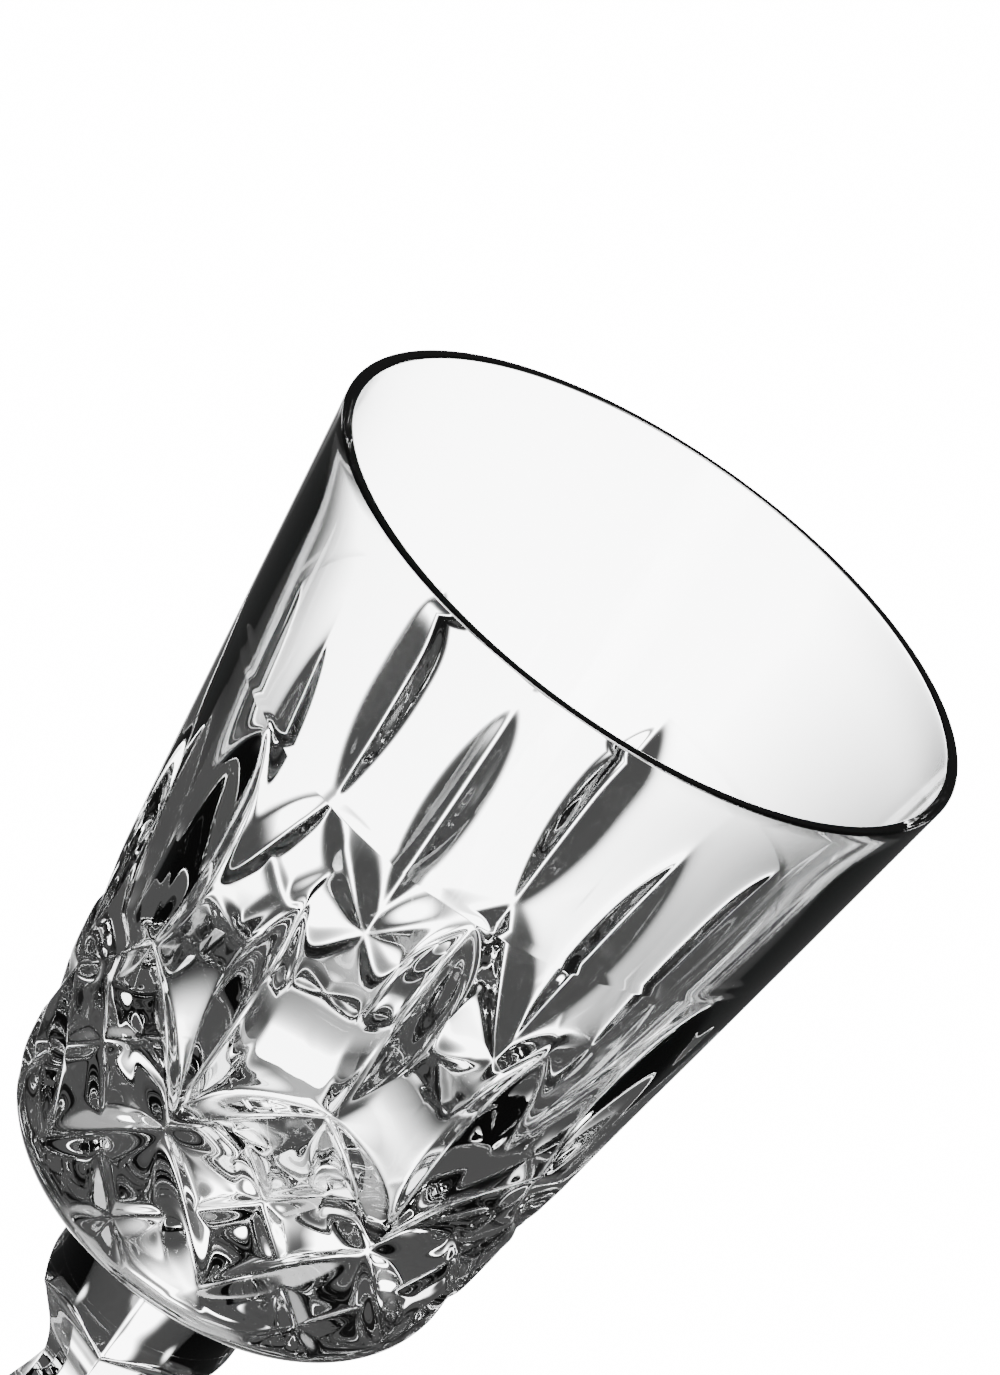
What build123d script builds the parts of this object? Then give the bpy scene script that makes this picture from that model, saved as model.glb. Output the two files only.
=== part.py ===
"""Cut crystal wine glass, free standing, built as the four gathers it is made from.

Millimetres, +Z up, origin at the centre of the foot's underside.  The bucket bowl carries a cut
band of wedges and crossing mitres, the collar is round, the stem is cut with six long flats and
the foot is a plain disc with a ground hollow.
"""

import os
from math import atan, cos, radians, sin, tan

from build123d import *

# Heights of the joints between the gathers
HEIGHT = 183.0
COLLAR_TOP = 87.3
STEM_TOP = 76.4
FOOT_TOP = 10.0

# Bowl, outside
RIM_R = 38.0
WALL_SLOPE = 0.117
SHOULDER_ROUND = 10.0
BASE_RISE = 0.4
BASE_FLAT_R = 12.5

# Bowl, inside: radius and height, from just under the rim down to the floor
RIM_THICK = 1.4
LIP_ROUND = 0.3
CAVITY = [
    (36.2, 180.0), (35.6, 175.0), (33.8, 164.0), (30.6, 145.0), (27.7, 130.0), (25.3, 118.5),
    (23.7, 112.6), (20.6, 109.0), (16.0, 107.4), (10.0, 107.0), (0.0, 107.0),
]

# Cut band: rows from tips to lowest crossing
FOLDS = 7
TALL_TIP_Z = 155.0
SHORT_TIP_Z = 144.4
APEX_Z = 125.6
SHORT_END_Z = 116.0
VALLEY_Z = 111.2
LOW_Z = 96.8

# Cut depths and the wheel that makes them
TALL_DEPTH = 2.1
SHORT_DEPTH = 1.9
ZIGZAG_DEPTH = 2.1
LOWER_DEPTH = 1.5
HALF_DEPTH = 1.2
END_DEPTH = 0.7
WHEEL_HALF_ANGLE = 57.0
WHEEL_EDGE = 5.0
RUN_ON = 1.12

# Collar and stem
COLLAR_R = 12.0
COLLAR_NECK_R = 10.6
SIDES = 6
STEM_FLATS = [
    (12.6, 75.2), (11.3, 72.9), (10.3, 71.6), (9.0, 69.5), (7.6, 67.1), (6.3, 64.0), (5.75, 61.2),
    (6.0, 57.6), (7.2, 52.4), (8.4, 46.0), (7.4, 40.0), (5.9, 34.6), (5.3, 28.0), (5.7, 21.5),
    (7.0, 16.6), (9.0, 13.2), (12.6, 11.0),
]

# Foot
FOOT_R = 35.0
FOOT_EDGE = 2.2
FOOT_SLOPE_R = 24.0
FOOT_SLOPE_Z = 3.9
HOLLOW_R = 26.0
HOLLOW_DEPTH = 1.4

# A tall wedge and a stem edge share this angle
STEP = 180 / FOLDS
APEX_ANGLE = 15.0

os.makedirs("parts", exist_ok=True)


def wall_r(z):
    """Outer radius of the bowl's straight wall at a height."""
    return RIM_R - WALL_SLOPE * (HEIGHT - z)


def lean_of(top_z, low_z):
    """Lean off vertical of a cut that crosses one pattern step between two heights."""
    across = wall_r((top_z + low_z) / 2) * radians(STEP)
    return atan(across / (top_z - low_z))


def wheel_radius(length, depth, z, lean):
    """Wheel radius that leaves a cut of this length and depth on the curved wall."""
    bend = sin(lean) ** 2 / wall_r(z)
    return 1 / (8 * depth / length**2 - bend)


def cut_plane(angle, z, lean, radius, depth):
    """Plane of a wheel that meets the wall at one angle and height, leaning off vertical."""
    tilt = atan(WALL_SLOPE)
    turn = radians(angle)
    out = Vector(cos(tilt) * cos(turn), cos(tilt) * sin(turn), -sin(tilt))
    up = Vector(sin(tilt) * cos(turn), sin(tilt) * sin(turn), cos(tilt))
    side = Vector(-sin(turn), cos(turn), 0)
    along = up * cos(lean) + side * sin(lean)
    touch = Vector(wall_r(z) * cos(turn), wall_r(z) * sin(turn), z)
    return Plane(origin=touch + out * (radius - depth), x_dir=along, z_dir=out.cross(along))


def wheel_part(radius):
    """A cutting wheel with a V edge, lying in the XY plane."""
    half = WHEEL_EDGE * tan(radians(WHEEL_HALF_ANGLE))
    with BuildPart() as disc:
        with BuildSketch(Plane.XZ):
            with BuildLine():
                Polyline((0, -half), (radius - WHEEL_EDGE, -half), (radius, 0),
                         (radius - WHEEL_EDGE, half), (0, half), close=True)
            make_face()
        revolve(axis=Axis.Z)
    return disc.part


def ring(steps, z, lean, length, depth):
    """The wheel of one ring of cuts and its planes, starting some pattern steps round."""
    radius = wheel_radius(length, depth, z, lean)
    angles = [APEX_ANGLE + (steps + 2 * i) * STEP for i in range(FOLDS)]
    return wheel_part(radius), [cut_plane(a, z, lean, radius, depth) for a in angles]


ZIGZAG_LEAN = lean_of(APEX_Z, VALLEY_Z)
LOWER_LEAN = lean_of(VALLEY_Z, LOW_Z)
ZIGZAG_LENGTH = RUN_ON * (APEX_Z - VALLEY_Z) / cos(ZIGZAG_LEAN)
LOWER_LENGTH = RUN_ON * (VALLEY_Z - LOW_Z) / cos(LOWER_LEAN)
TALL_LENGTH = TALL_TIP_Z - APEX_Z
SHORT_LENGTH = SHORT_TIP_Z - SHORT_END_Z

rings = [
    ring(0, (TALL_TIP_Z + APEX_Z) / 2, 0, TALL_LENGTH, TALL_DEPTH),
    ring(1, (SHORT_TIP_Z + SHORT_END_Z) / 2, 0, SHORT_LENGTH, SHORT_DEPTH),
]
for hand in (-1, 1):
    rings += [
        ring(-0.5 * hand, (APEX_Z + VALLEY_Z) / 2, hand * ZIGZAG_LEAN, ZIGZAG_LENGTH, ZIGZAG_DEPTH),
        ring(-1.5 * hand, (VALLEY_Z + LOW_Z) / 2, hand * LOWER_LEAN, LOWER_LENGTH, LOWER_DEPTH),
        ring(0, VALLEY_Z, hand * ZIGZAG_LEAN, ZIGZAG_LENGTH, HALF_DEPTH),
        ring(-0.75 * hand, (VALLEY_Z + 3 * LOW_Z) / 4, hand * LOWER_LEAN, LOWER_LENGTH / 2, END_DEPTH),
    ]

# Bowl: plain blank first, then every ring of cuts
with BuildPart() as bowl:
    with BuildSketch(Plane.XZ) as blank:
        with BuildLine():
            Polyline(CAVITY[-1], (0, COLLAR_TOP), (BASE_FLAT_R, COLLAR_TOP),
                     (wall_r(COLLAR_TOP + BASE_RISE), COLLAR_TOP + BASE_RISE), (RIM_R, HEIGHT),
                     (RIM_R - RIM_THICK, HEIGHT), CAVITY[0])
            Spline(*CAVITY, tangents=[(-0.12, -1), (-1, 0)])
        make_face()
        base_corners = blank.vertices().filter_by_position(Axis.Y, COLLAR_TOP, COLLAR_TOP + 1)
        fillet(base_corners.sort_by(Axis.X)[-1], SHOULDER_ROUND)
        fillet(blank.vertices().filter_by_position(Axis.Y, HEIGHT - 1, HEIGHT + 1), LIP_ROUND)
    revolve(axis=Axis.Z)
    for cutter, planes in rings:
        with Locations(*planes):
            add(cutter, mode=Mode.SUBTRACT)
bowl.part.label = "bowl"
export_step(bowl.part, "parts/bowl.step")

# Collar: the round gather that joins the bowl to the stem
with BuildPart() as collar:
    with BuildSketch(Plane.XZ):
        with BuildLine():
            Polyline((BASE_FLAT_R, COLLAR_TOP), (0, COLLAR_TOP), (0, STEM_TOP), (COLLAR_R, STEM_TOP))
            Spline((COLLAR_R, STEM_TOP), (COLLAR_NECK_R, COLLAR_TOP - 2.2), (BASE_FLAT_R, COLLAR_TOP),
                   tangents=[(0, 1), (1, 0.5)])
        make_face()
    revolve(axis=Axis.Z)
collar.part.label = "collar"
export_step(collar.part, "parts/collar.step")

# Stem: a round rod with six long flats that scallop into its ends
with BuildPart() as stem:
    with Locations((0, 0, FOOT_TOP)):
        Cylinder(COLLAR_R, STEM_TOP - FOOT_TOP, align=(Align.CENTER, Align.CENTER, Align.MIN))
    with BuildSketch(Plane.XZ):
        with BuildLine():
            flat = Spline(*STEM_FLATS)
            Polyline(flat @ 1, (2 * COLLAR_R, STEM_FLATS[-1][1]), (2 * COLLAR_R, STEM_FLATS[0][1]),
                     flat @ 0)
        make_face()
    flat_cut = extrude(amount=COLLAR_R, both=True, mode=Mode.PRIVATE)
    with PolarLocations(0, SIDES, start_angle=APEX_ANGLE + 180 / SIDES):
        add(flat_cut, mode=Mode.SUBTRACT)
stem.part.label = "stem"
export_step(stem.part, "parts/stem.step")

# Foot: a plain disc, ground hollow underneath
with BuildPart() as foot:
    with BuildSketch(Plane.XZ):
        with BuildLine():
            Polyline((0, FOOT_TOP), (0, HOLLOW_DEPTH))
            ThreePointArc((0, HOLLOW_DEPTH), (HOLLOW_R * 0.55, HOLLOW_DEPTH * 0.7), (HOLLOW_R, 0))
            Line((HOLLOW_R, 0), (FOOT_R - FOOT_EDGE / 2, 0))
            ThreePointArc((FOOT_R - FOOT_EDGE / 2, 0), (FOOT_R, FOOT_EDGE / 2),
                          (FOOT_R - FOOT_EDGE / 2, FOOT_EDGE))
            Spline((FOOT_R - FOOT_EDGE / 2, FOOT_EDGE), (FOOT_SLOPE_R, FOOT_SLOPE_Z),
                   (COLLAR_R, FOOT_TOP), tangents=[(-1, 0.06), (-0.25, 1)])
            Line((COLLAR_R, FOOT_TOP), (0, FOOT_TOP))
        make_face()
    revolve(axis=Axis.Z)
foot.part.label = "foot"
export_step(foot.part, "parts/foot.step")
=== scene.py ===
from math import atan, cos, pi, radians, sin, sqrt, tan

import bpy
import numpy as np
from mathutils import Matrix, Vector


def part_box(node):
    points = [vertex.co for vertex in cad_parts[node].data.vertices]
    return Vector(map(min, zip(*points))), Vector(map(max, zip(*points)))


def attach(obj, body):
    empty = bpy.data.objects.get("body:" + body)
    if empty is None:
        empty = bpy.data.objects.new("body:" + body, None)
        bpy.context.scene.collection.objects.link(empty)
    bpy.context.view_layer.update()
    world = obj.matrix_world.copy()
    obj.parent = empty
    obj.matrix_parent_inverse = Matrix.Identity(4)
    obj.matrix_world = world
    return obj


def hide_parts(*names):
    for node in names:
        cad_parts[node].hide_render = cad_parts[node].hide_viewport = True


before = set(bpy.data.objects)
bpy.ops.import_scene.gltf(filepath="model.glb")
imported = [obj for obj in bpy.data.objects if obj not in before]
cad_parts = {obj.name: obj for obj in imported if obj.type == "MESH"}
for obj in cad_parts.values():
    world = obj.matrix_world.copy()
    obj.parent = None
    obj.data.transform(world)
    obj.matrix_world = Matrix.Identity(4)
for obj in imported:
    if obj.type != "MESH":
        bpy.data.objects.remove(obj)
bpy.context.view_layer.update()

MM = 0.001

# ---------------------------------------------------------------- sizes taken from the CAD pieces
bowl_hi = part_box("bowl")[1]
collar_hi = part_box("collar")[1]
stem_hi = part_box("stem")[1]
foot_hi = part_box("foot")[1]

RIM_Z = bowl_hi.z
JOIN_Z = collar_hi.z
JOIN_R = collar_hi.x
STEM_TOP_Z = stem_hi.z
STEM_R = stem_hi.x
FOOT_TOP_Z = foot_hi.z
FOOT_R = foot_hi.x

# ---------------------------------------------------------------- bowl form
RIM_R = 38.0 * MM
WALL_SLOPE = 0.117
RIM_THICK = 1.4 * MM
LIP_ROUND = 0.3 * MM
SHOULDER_ROUND = 10.0 * MM
BASE_RISE = 0.4 * MM
# Radius and height in mm down the inside, from just under the rim to the middle of the floor
CAVITY = [
    (36.2, 180.0), (35.4, 175.0), (33.6, 164.0), (30.5, 145.0), (27.7, 130.0), (25.3, 118.5),
    (23.7, 112.6), (20.6, 109.0), (16.0, 107.4), (10.0, 107.0), (0.0, 107.0),
]
# The innermost ring of the cavity, which its last triangles close
HUB_R = 0.3 * MM

# ---------------------------------------------------------------- cut band
FOLDS = 7
STEP = pi / FOLDS
TURNED = radians(15)
TALL_TIP, APEX = 155.0 * MM, 125.6 * MM
SHORT_TIP, SHORT_END = 144.4 * MM, 116.0 * MM
VALLEY, LOW = 111.2 * MM, 96.8 * MM
TALL_DEEP, SHORT_DEEP = 2.0 * MM, 1.85 * MM
TALL_BLUNT, SHORT_BLUNT = 3.2, 2.2
ZIGZAG_DEEP, LOWER_DEEP, HALF_DEEP = 2.1 * MM, 1.5 * MM, 0.9 * MM
NODE_DEEP = 0.25 * MM
WHEEL_COT = 1 / tan(radians(57))
# A groove keeps getting shallower up to this many half lengths from its middle
RUN_OFF = 1.4
# Softening of the groove bottoms, of the crests between grooves and of the edge with the plain wall
CREASE = 0.40 * MM
ARRIS = 0.22 * MM
EDGE = 0.38 * MM
# The close rows and the cuts end just above the tall tips; below the band the cuts fade away
CLOSE_ROWS_TOP, CUTS_TOP = TALL_TIP + 1.5 * MM, TALL_TIP + 1.4 * MM
CUTS_BOTTOM = LOW - 8 * MM
FADE_START, FADE_SPAN = LOW - 4.5 * MM, 3 * MM

# ---------------------------------------------------------------- collar, stem and foot form
COLLAR_NECK_R = 10.7 * MM
# Shares of the collar's height where its taper ends and its flare starts, and their powers
TAPER_END, TAPER_POWER = 0.78, 2.6
FLARE_START, FLARE_POWER = 0.72, 2.2
SIDES = 6
# Distance of a flat from the axis, and height, in mm, from the top down
FLATS = [
    (14.4, 77.6), (12.6, 75.2), (11.3, 72.9), (10.3, 71.6), (9.0, 69.5), (7.6, 67.1), (6.3, 64.0),
    (5.75, 61.2), (6.0, 57.6), (7.2, 52.4), (8.4, 46.0), (7.4, 40.0), (5.9, 34.6), (5.3, 28.0),
    (5.7, 21.5), (7.0, 16.6), (9.0, 13.2), (12.6, 11.0),
]
# Softening of the edges between flats, and between the flats and the round rod
FLAT_ARRIS, ROUND_ARRIS = 0.06 * MM, 0.05 * MM
FOOT_EDGE = 2.2 * MM
FOOT_FALL_POWER = 3.0
HOLLOW_R, HOLLOW_DEEP = 26.0 * MM, 1.4 * MM

# ---------------------------------------------------------------- mesh density
CUT_ROWS = 300
BOWL_TURNS = 1120
BASE_ROWS, SHOULDER_ROWS, PLAIN_ROWS = 8, 48, 24
LIP_ROWS, LIP_FLAT_ROWS, CAVITY_ROWS = 10, 6, 150
COLLAR_ROWS = 40
STEM_ROWS = 330
STEM_TURNS = 720
FOOT_ROWS, FOOT_EDGE_ROWS, HOLLOW_ROWS, FOOT_TURNS = 60, 18, 24, 512
# A second ring this share of a step inside each fused cap keeps the cap from bending the shading
CAP_GAP = 0.03


def wall_r(z):
    """Outer radius of the straight wall at a height."""
    return RIM_R - WALL_SLOPE * (RIM_Z - z)


def soft_max(a, b, blend):
    """The larger of two fields with the change-over rounded off."""
    return 0.5 * (a + b + np.sqrt((a - b) ** 2 + blend**2))


def soft_min(a, b, blend):
    """The smaller of two fields with the change-over rounded off."""
    return -soft_max(-a, -b, blend)


def groove(across, along, length, middle, end, blunt=2):
    """Depth of one V groove that is deepest in its middle; a larger blunt fills out its upper end."""
    share = np.clip(2 * along / length, -RUN_OFF, RUN_OFF)
    floor = end + (middle - end) * (1 - np.abs(share) ** np.where(share > 0, blunt, 2))
    return floor - WHEEL_COT * (np.sqrt(across**2 + CREASE**2) - CREASE)


def folded(theta, start):
    """Signed angle to the nearest of the evenly spaced cuts that begin at start."""
    pitch = 2 * STEP
    return (theta - start + STEP) % pitch - STEP


def cut_depth(theta, z):
    """Depth of all the cuts together below the plain wall, for arrays of angle and height."""
    theta = theta - TURNED
    r = wall_r(z)
    rise = sqrt(1 + WALL_SLOPE**2)
    fields = []
    for start, top, low, deep, blunt in (
        (0, TALL_TIP, APEX, TALL_DEEP, TALL_BLUNT),
        (STEP, SHORT_TIP, SHORT_END, SHORT_DEEP, SHORT_BLUNT),
    ):
        side = r * folded(theta, start)
        along = (z - (top + low) / 2) * rise
        fields.append(groove(side, along, (top - low) * rise, deep, 0, blunt))
    for hand in (-1, 1):
        rows = (
            (0.5, APEX, VALLEY, ZIGZAG_DEEP, NODE_DEEP),
            (1.5, VALLEY, LOW, LOWER_DEEP, NODE_DEEP),
            (0.0, (APEX + VALLEY) / 2, (VALLEY + LOW) / 2, HALF_DEEP, NODE_DEEP),
            (1.0, (VALLEY + LOW) / 2, LOW - (VALLEY - LOW) / 2, HALF_DEEP, 0),
        )
        for middle, top, low, deep, end in rows:
            turn = folded(theta, hand * middle * STEP) * hand
            centre = (top + low) / 2
            width = wall_r(centre) * STEP
            length = sqrt(width**2 + (top - low) ** 2)
            x = turn / STEP * width
            y = (z - centre) * rise
            along = (x * width - y * (top - low)) / length
            across = (x * (top - low) + y * width) / length
            fields.append(groove(across, along, length, deep, end))
    total = fields[0]
    for field in fields[1:]:
        total = soft_max(total, field, ARRIS)
    return soft_max(total, 0, EDGE)


def smooth_curve(x, xs, ys):
    """Natural cubic spline through the points."""
    n = len(xs)
    h = np.diff(xs)
    system = np.zeros((n, n))
    right = np.zeros(n)
    system[0, 0] = system[-1, -1] = 1
    for i in range(1, n - 1):
        system[i, i - 1 : i + 2] = h[i - 1], 2 * (h[i - 1] + h[i]), h[i]
        right[i] = 6 * ((ys[i + 1] - ys[i]) / h[i] - (ys[i] - ys[i - 1]) / h[i - 1])
    bend = np.linalg.solve(system, right)
    i = np.clip(np.searchsorted(xs, x) - 1, 0, n - 2)
    a, b = (xs[i + 1] - x) / h[i], (x - xs[i]) / h[i]
    curl = (a**3 - a) * bend[i] + (b**3 - b) * bend[i + 1]
    return a * ys[i] + b * ys[i + 1] + curl * h[i] ** 2 / 6


def arc(centre, radius, start, end, count):
    """Points of a circular arc in the profile plane, without its first point."""
    steps = np.linspace(start, end, count + 1)[1:]
    return [(centre[0] + radius * cos(a), centre[1] + radius * sin(a)) for a in steps]


def outer_profile():
    """Outside of the bowl from the joint with the collar up to the rim's widest point."""
    tilt = atan(WALL_SLOPE)
    corner_r, corner_z = wall_r(JOIN_Z + BASE_RISE), JOIN_Z + BASE_RISE
    base_tilt = atan(BASE_RISE / (corner_r - JOIN_R))
    turn = pi / 2 - tilt - base_tilt
    reach = SHOULDER_ROUND * tan(turn / 2)
    start_r, start_z = corner_r - reach * cos(base_tilt), corner_z - reach * sin(base_tilt)
    centre = start_r - SHOULDER_ROUND * sin(base_tilt), start_z + SHOULDER_ROUND * cos(base_tilt)
    points = [
        (JOIN_R + (start_r - JOIN_R) * t, JOIN_Z + (start_z - JOIN_Z) * t)
        for t in np.linspace(0, 1, BASE_ROWS)
    ]
    points += arc(centre, SHOULDER_ROUND, base_tilt - pi / 2, -tilt, SHOULDER_ROWS)
    shoulder_z = points[-1][1]
    cut_rows = np.linspace(shoulder_z, CLOSE_ROWS_TOP, CUT_ROWS + 1)[1:]
    plain_rows = np.linspace(CLOSE_ROWS_TOP, RIM_Z - LIP_ROUND, PLAIN_ROWS)[1:]
    return points + [(wall_r(z), z) for z in np.concatenate([cut_rows, plain_rows])]


def inner_profile():
    """Inside of the bowl from the rim down to the middle of its floor."""
    lip_z = RIM_Z - LIP_ROUND
    rim_r = wall_r(lip_z)
    outer_lip_r, inner_lip_r = rim_r - LIP_ROUND, rim_r - RIM_THICK + LIP_ROUND
    points = arc((outer_lip_r, lip_z), LIP_ROUND, 0, pi / 2, LIP_ROWS)
    points += [(r, RIM_Z) for r in np.linspace(outer_lip_r, inner_lip_r, LIP_FLAT_ROWS)[1:]]
    points += arc((inner_lip_r, lip_z), LIP_ROUND, pi / 2, pi, LIP_ROWS)
    way = np.array([((rim_r - RIM_THICK) / MM, lip_z / MM), *CAVITY])
    run = np.concatenate([[0], np.cumsum(np.linalg.norm(np.diff(way, axis=0), axis=1))])
    t = np.linspace(0, run[-1], CAVITY_ROWS)[1:-1]
    cavity_r, cavity_z = smooth_curve(t, run, way[:, 0]) * MM, smooth_curve(t, run, way[:, 1]) * MM
    return points + [(max(r, HUB_R), z) for r, z in zip(cavity_r, cavity_z)]


def collar_profile():
    """Round collar: as wide as the rod at the stem, tapering to a neck and flaring out to the bowl."""
    t = np.linspace(0, 1, COLLAR_ROWS)
    z = STEM_TOP_Z + (JOIN_Z - STEM_TOP_Z) * t
    body = STEM_R + (COLLAR_NECK_R - STEM_R) * np.clip(t / TAPER_END, 0, 1) ** TAPER_POWER
    flare = np.clip((t - FLARE_START) / (1 - FLARE_START), 0, 1) ** FLARE_POWER
    return np.stack([body + (JOIN_R - COLLAR_NECK_R) * flare, z], 1)


def foot_profile():
    """Plain foot from the middle of the ground hollow out round the edge and up to the stem joint."""
    t = np.linspace(0, 1, FOOT_ROWS)
    edge_r = FOOT_R - FOOT_EDGE / 2
    top_r = STEM_R + (edge_r - STEM_R) * t
    top_z = FOOT_EDGE + (FOOT_TOP_Z - FOOT_EDGE) * (1 - t) ** FOOT_FALL_POWER
    edge = arc((edge_r, FOOT_EDGE / 2), FOOT_EDGE / 2, pi / 2, -pi / 2, FOOT_EDGE_ROWS)
    u = np.linspace(0, 1, HOLLOW_ROWS)[1:-1]
    under = np.stack([HOLLOW_R * (1 - u), HOLLOW_DEEP * (1 - (1 - u) ** 2)], 1)
    return np.concatenate([np.stack([top_r, top_z], 1), edge, [[HOLLOW_R, 0]], under])[::-1]


def turn_angles(turns):
    """Evenly spaced angles once round."""
    return 2 * pi * np.arange(turns) / turns


def ring_points(r, z, turns):
    """Points of one ring; r and z may vary with angle."""
    angles = turn_angles(turns)
    r = np.broadcast_to(r, turns)
    z = np.broadcast_to(z, turns)
    return np.stack([r * np.cos(angles), r * np.sin(angles), z], 1)


def bowl_rings():
    """The bowl from the collar joint up its cut outside, over the rim and down the inside."""
    outer = np.array(outer_profile())
    slope = np.gradient(outer, axis=0)
    slope /= np.linalg.norm(slope, axis=1)[:, None]
    angles = turn_angles(BOWL_TURNS)
    rings = []
    for (r, z), (dr, dz) in zip(outer, slope):
        depth = np.zeros(BOWL_TURNS)
        if CUTS_BOTTOM < z < CUTS_TOP:
            fade = np.clip((z - FADE_START) / FADE_SPAN, 0, 1)
            depth = cut_depth(angles, np.full(BOWL_TURNS, z)) * fade * fade * (3 - 2 * fade)
        rings.append(ring_points(r - depth * dz, z + depth * dr, BOWL_TURNS))
    return rings + [ring_points(r, z, BOWL_TURNS) for r, z in inner_profile()]


def stem_rings():
    """The stem from the foot up: six flats cut into a round rod, with plain round ends."""
    flat_z = np.array([z for r, z in FLATS[::-1]]) * MM
    flat_r = np.array([r for r, z in FLATS[::-1]]) * MM
    wedge = 2 * pi / SIDES
    to_flat = (turn_angles(STEM_TURNS) - TURNED) % wedge - wedge / 2
    rod = STEM_R * np.ones(STEM_TURNS)
    rings = []
    for z in np.linspace(FOOT_TOP_Z, STEM_TOP_Z, STEM_ROWS):
        r = rod
        if z > flat_z[0]:
            inset = smooth_curve(np.array([z]), flat_z, flat_r)[0]
            beside = inset / np.cos(wedge - np.abs(to_flat))
            r = soft_min(soft_min(inset / np.cos(to_flat), beside, FLAT_ARRIS), rod, ROUND_ARRIS)
        rings.append(ring_points(r, z, STEM_TURNS))
    return rings


def build_mesh(name, rings, fused_start, fused_end):
    """A closed surface from rings of points; a fused end lies inside the glass, at the next gather."""
    count = len(rings[0])
    if fused_start:
        rings = [rings[0], rings[0] + (rings[1] - rings[0]) * CAP_GAP] + rings[1:]
    if fused_end:
        rings = rings[:-1] + [rings[-1] + (rings[-2] - rings[-1]) * CAP_GAP, rings[-1]]
    here = np.arange(count)
    ahead = (here + 1) % count
    last = (len(rings) - 1) * count
    hub = len(rings) * count
    quads = np.concatenate([
        np.stack([low + here, low + ahead, low + count + ahead, low + count + here], 1)
        for low in range(0, last, count)
    ])
    tris = np.concatenate([
        np.stack([ahead, here, np.full(count, hub)], 1),
        np.stack([last + here, last + ahead, np.full(count, hub + 1)], 1),
    ])
    vertices = np.concatenate([*rings, [rings[0].mean(0), rings[-1].mean(0)]])
    loops = np.concatenate([quads.ravel(), tris.ravel()]).astype(np.int32)
    starts = np.concatenate([np.arange(len(quads)) * 4, len(quads) * 4 + np.arange(len(tris)) * 3])
    slots = np.repeat([0, int(fused_start), int(fused_end)], [len(quads), count, count])
    mesh = bpy.data.meshes.new(name)
    mesh.vertices.add(len(vertices))
    mesh.vertices.foreach_set("co", vertices.astype(np.float32).ravel())
    mesh.loops.add(len(loops))
    mesh.loops.foreach_set("vertex_index", loops)
    mesh.polygons.add(len(starts))
    mesh.polygons.foreach_set("loop_start", starts.astype(np.int32))
    mesh.polygons.foreach_set("material_index", slots.astype(np.int32))
    mesh.update(calc_edges=True)
    mesh.validate()
    mesh.polygons.foreach_set("use_smooth", slots == 0)
    obj = bpy.data.objects.new(name, mesh)
    bpy.context.scene.collection.objects.link(obj)
    return obj


# ---------------------------------------------------------------- glass
TINT = (0.985, 0.99, 0.99, 1)
CRYSTAL_IOR = 1.545
RIPPLE_SCALE, RIPPLE_DETAIL = 45.0, 2.0


def crystal(name, ripple):
    """Clear lead crystal with a faint polishing ripple."""
    mat = bpy.data.materials.new(name)
    mat.use_nodes = True
    nodes, links = mat.node_tree.nodes, mat.node_tree.links
    shader = nodes["Principled BSDF"]
    shader.inputs["Base Color"].default_value = TINT
    shader.inputs["Roughness"].default_value = 0.0
    shader.inputs["IOR"].default_value = CRYSTAL_IOR
    shader.inputs["Transmission Weight"].default_value = 1.0
    where = nodes.new("ShaderNodeTexCoord")
    noise = nodes.new("ShaderNodeTexNoise")
    noise.inputs["Scale"].default_value = RIPPLE_SCALE
    noise.inputs["Detail"].default_value = RIPPLE_DETAIL
    bump = nodes.new("ShaderNodeBump")
    bump.inputs["Strength"].default_value = 1.0
    bump.inputs["Distance"].default_value = ripple
    links.new(where.outputs["Object"], noise.inputs["Vector"])
    links.new(noise.outputs["Fac"], bump.inputs["Height"])
    links.new(bump.outputs["Normal"], shader.inputs["Normal"])
    return mat


def fused_joint():
    """The hidden meeting of two gathers: glass fused to glass, so light goes straight through."""
    mat = bpy.data.materials.new("fused_joint")
    mat.use_nodes = True
    nodes, links = mat.node_tree.nodes, mat.node_tree.links
    nodes.clear()
    out = nodes.new("ShaderNodeOutputMaterial")
    clear = nodes.new("ShaderNodeBsdfTransparent")
    links.new(clear.outputs["BSDF"], out.inputs["Surface"])
    return mat


bowl_glass = crystal("bowl_crystal_look", 0.012 * MM)
stem_glass = crystal("stem_crystal_look", 0.008 * MM)
foot_glass = crystal("foot_crystal_look", 0.012 * MM)
joint_glass = fused_joint()

# ---------------------------------------------------------------- the four gathers
collar_rings = [ring_points(r, z, STEM_TURNS) for r, z in collar_profile()]
foot_rings = [ring_points(r, z, FOOT_TURNS) for r, z in foot_profile()]

bowl = build_mesh("bowl_cut_crystal", bowl_rings(), True, False)
collar = build_mesh("collar_round", collar_rings, True, True)
stem = build_mesh("stem_six_flats", stem_rings(), True, True)
foot = build_mesh("foot_disc", foot_rings, False, True)

for obj, glass, node, slot in (
    (bowl, bowl_glass, "bowl", "bowl_crystal"),
    (collar, stem_glass, "collar", "stem_crystal"),
    (stem, stem_glass, "stem", "stem_crystal"),
    (foot, foot_glass, "foot", "foot_crystal"),
):
    obj.data.materials.append(glass)
    obj.data.materials.append(joint_glass)
    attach(obj, "root")
    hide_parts(node)

# ---------------------------------------------------------------- studio
WHITE, GLOW, DARK = 16.0, 20.0, 0.085
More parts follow.
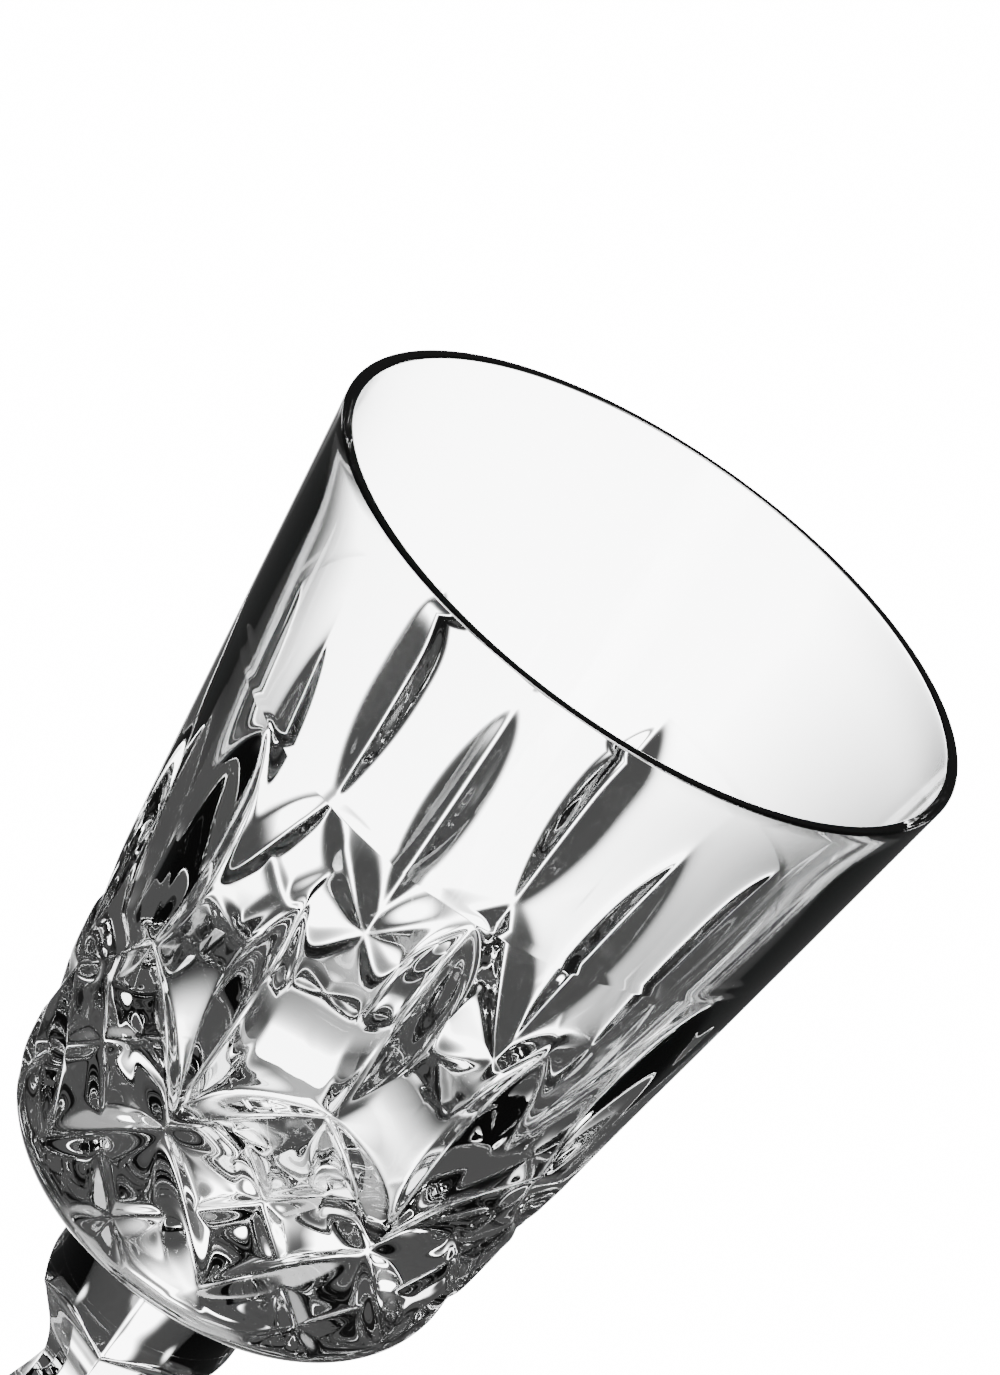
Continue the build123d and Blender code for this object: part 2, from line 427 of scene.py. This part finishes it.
# The tall white sweep behind the glass. Its edges are dot products with the direction: from, to, and the
# share of white at each
SWEEP_AZ, SWEEP_BACK_LIFT = 138, -50
SWEEP_SIDES = (0.02, 0.30, 1.0, 0.0)
SWEEP_LOWER = (-0.31, -0.12, 1.0, 0.25)
SWEEP_BELOW = (-0.93, -0.55, 0.40, 1.0)
SWEEP_TOP = (0.0, 0.15, 1.0, 0.0)
SWEEP_BACK = (0.2, 0.5, 0.0, 1.0)
# Small white cards round the glass, in degrees: azimuth, lift, full half width, end, then share
CARDS = (
    (90, 2, 6, 9, 0.8),
    (180, 2, 6, 9, 0.8),
    (-45, -15, 8, 16, 1.0),
    (157, -17, 5, 11, 0.9),
    (137, 7, 7, 13, 0.95),
    (135, -90, 18, 32, 0.75),
)
FLOOR_R, FLOOR_Z = 4.0, -0.2 * MM
# Painted contact shadow on the floor: full inside the first radius, gone by the second, and the share of
# white left where it is darkest
PAINTED_SHADOW_R, PAINTED_SHADOW_END_R, PAINTED_SHADOW_TONE = 32 * MM, 62 * MM, 0.22


def heading(azimuth, lift):
    """Unit vector towards an azimuth and lift in degrees."""
    a, e = radians(azimuth), radians(lift)
    return Vector((cos(e) * cos(a), cos(e) * sin(a), sin(e)))


class Wires:
    """Short helpers for wiring shader nodes."""

    def __init__(self, tree):
        self.tree = tree

    def node(self, kind):
        return self.tree.nodes.new(kind)

    def set(self, socket, value):
        if hasattr(value, "is_linked"):
            self.tree.links.new(value, socket)
        else:
            socket.default_value = value

    def math(self, kind, *values):
        node = self.node("ShaderNodeMath")
        node.operation = kind
        for socket, value in zip(node.inputs, values):
            self.set(socket, value)
        return node.outputs[0]

    def vector(self, kind, *values):
        node = self.node("ShaderNodeVectorMath")
        node.operation = kind
        for socket, value in zip(node.inputs, values):
            self.set(socket, value)
        return node.outputs["Value"]

    def ramp(self, value, lo, hi, out_lo, out_hi):
        node = self.node("ShaderNodeMapRange")
        node.interpolation_type = "SMOOTHSTEP"
        names = ("Value", "From Min", "From Max", "To Min", "To Max")
        for name, item in zip(names, (value, lo, hi, out_lo, out_hi)):
            self.set(node.inputs[name], item)
        return node.outputs["Result"]

    def camera_ray(self):
        return self.node("ShaderNodeLightPath").outputs["Is Camera Ray"]


def studio_light(wires, way):
    """Light of the studio along a direction: a tall white sweep and white cards in dark surroundings."""
    rise = wires.vector("DOT_PRODUCT", way, (0, 0, 1))
    aside = wires.math("ABSOLUTE", wires.vector("DOT_PRODUCT", way, heading(SWEEP_AZ + 90, 0)))
    beyond = wires.vector("DOT_PRODUCT", way, heading(SWEEP_AZ, SWEEP_BACK_LIFT))
    tone = wires.ramp(aside, *SWEEP_SIDES)
    for value, edge in (
        (rise, SWEEP_LOWER),
        (rise, SWEEP_BELOW),
        (rise, SWEEP_TOP),
        (beyond, SWEEP_BACK),
    ):
        tone = wires.math("MULTIPLY", tone, wires.ramp(value, *edge))
    for azimuth, lift, full, end, share in CARDS:
        facing = wires.vector("DOT_PRODUCT", way, heading(azimuth, lift))
        off = wires.math("ARCCOSINE", wires.math("MINIMUM", facing, 1.0))
        tone = wires.math("MAXIMUM", tone, wires.ramp(off, radians(full), radians(end), share, 0.0))
    return wires.math("MULTIPLY", DARK, wires.math("POWER", GLOW / DARK, tone))


def light_world():
    """A world that shows the camera plain white and lights the glass with the studio pattern."""
    world = bpy.data.worlds.new("studio")
    bpy.context.scene.world = world
    world.use_nodes = True
    wires = Wires(world.node_tree)
    background = world.node_tree.nodes["Background"]
    background.inputs["Color"].default_value = (1, 1, 1, 1)
    way = wires.node("ShaderNodeTexCoord").outputs["Generated"]
    choose = wires.node("ShaderNodeMix")
    wires.set(choose.inputs[0], wires.camera_ray())
    wires.set(choose.inputs[2], studio_light(wires, way))
    wires.set(choose.inputs[3], WHITE)
    wires.set(background.inputs["Strength"], choose.outputs[0])


def floor_white_painted_shadow():
    """White floor with a painted soft contact shadow, darker near the foot by distance alone, seen by
    the camera and clear to every other ray.
    """
    mat = bpy.data.materials.new("floor_white_painted_shadow")
    mat.use_nodes = True
    mat.node_tree.nodes.clear()
    wires = Wires(mat.node_tree)
    at = wires.node("ShaderNodeTexCoord").outputs["Object"]
    shade = wires.ramp(wires.vector("LENGTH", at), PAINTED_SHADOW_R, PAINTED_SHADOW_END_R, 1.0, 0.0)
    emission = wires.node("ShaderNodeEmission")
    clear = wires.node("ShaderNodeBsdfTransparent")
    choose = wires.node("ShaderNodeMixShader")
    output = wires.node("ShaderNodeOutputMaterial")
    # Painted shadow: the floor's glow is dimmed near the foot by distance, not shaded by the glass
    seen = wires.math("MULTIPLY", wires.math("POWER", PAINTED_SHADOW_TONE, shade), WHITE)
    wires.set(emission.inputs["Strength"], seen)
    wires.set(choose.inputs[0], wires.camera_ray())
    wires.set(choose.inputs[1], clear.outputs[0])
    wires.set(choose.inputs[2], emission.outputs[0])
    wires.set(output.inputs["Surface"], choose.outputs[0])
    return mat


light_world()
bpy.ops.mesh.primitive_circle_add(
    vertices=128, radius=FLOOR_R, fill_type="NGON", location=(0, 0, FLOOR_Z)
)
floor = bpy.context.object
floor.name = "studio_floor"
floor.data.materials.append(floor_white_painted_shadow())

# ---------------------------------------------------------------- camera
# Where the camera stands round the rim's centre, then how far it is turned off it, in degrees
CAMERA_AZ, CAMERA_LIFT = -45.12, 23.196
ROLL, TILT, PAN = -35.667, -1.298, 1.943
DISTANCE = 12.645 * RIM_R
LENS, SENSOR, CLIP_START = 120.6, 36.0, 0.01


def turned(first, second, degrees):
    """Rotation that carries one of the three axes towards another."""
    angle = radians(degrees)
    matrix = Matrix.Identity(3)
    matrix[first][first] = matrix[second][second] = cos(angle)
    matrix[first][second] = -sin(angle)
    matrix[second][first] = sin(angle)
    return matrix


def add_camera():
    """The camera at the viewing angle, aimed at the rim's centre and then rolled, tilted and panned."""
    out = heading(CAMERA_AZ, CAMERA_LIFT)
    forward = -out
    right = forward.cross(Vector((0, 0, 1))).normalized()
    level = Matrix((right, right.cross(forward), forward))
    axes = turned(2, 0, PAN) @ turned(1, 2, TILT) @ turned(0, 1, ROLL) @ level
    pose = Matrix((axes[0], axes[1], -axes[2])).transposed().to_4x4()
    pose.translation = Vector((0, 0, RIM_Z)) + out * DISTANCE
    lens = bpy.data.cameras.new("photo_camera")
    lens.lens = LENS
    lens.sensor_width = SENSOR
    lens.clip_start = CLIP_START
    camera = bpy.data.objects.new("photo_camera", lens)
    bpy.context.scene.collection.objects.link(camera)
    camera.matrix_world = pose
    return camera


bpy.context.scene.camera = add_camera()
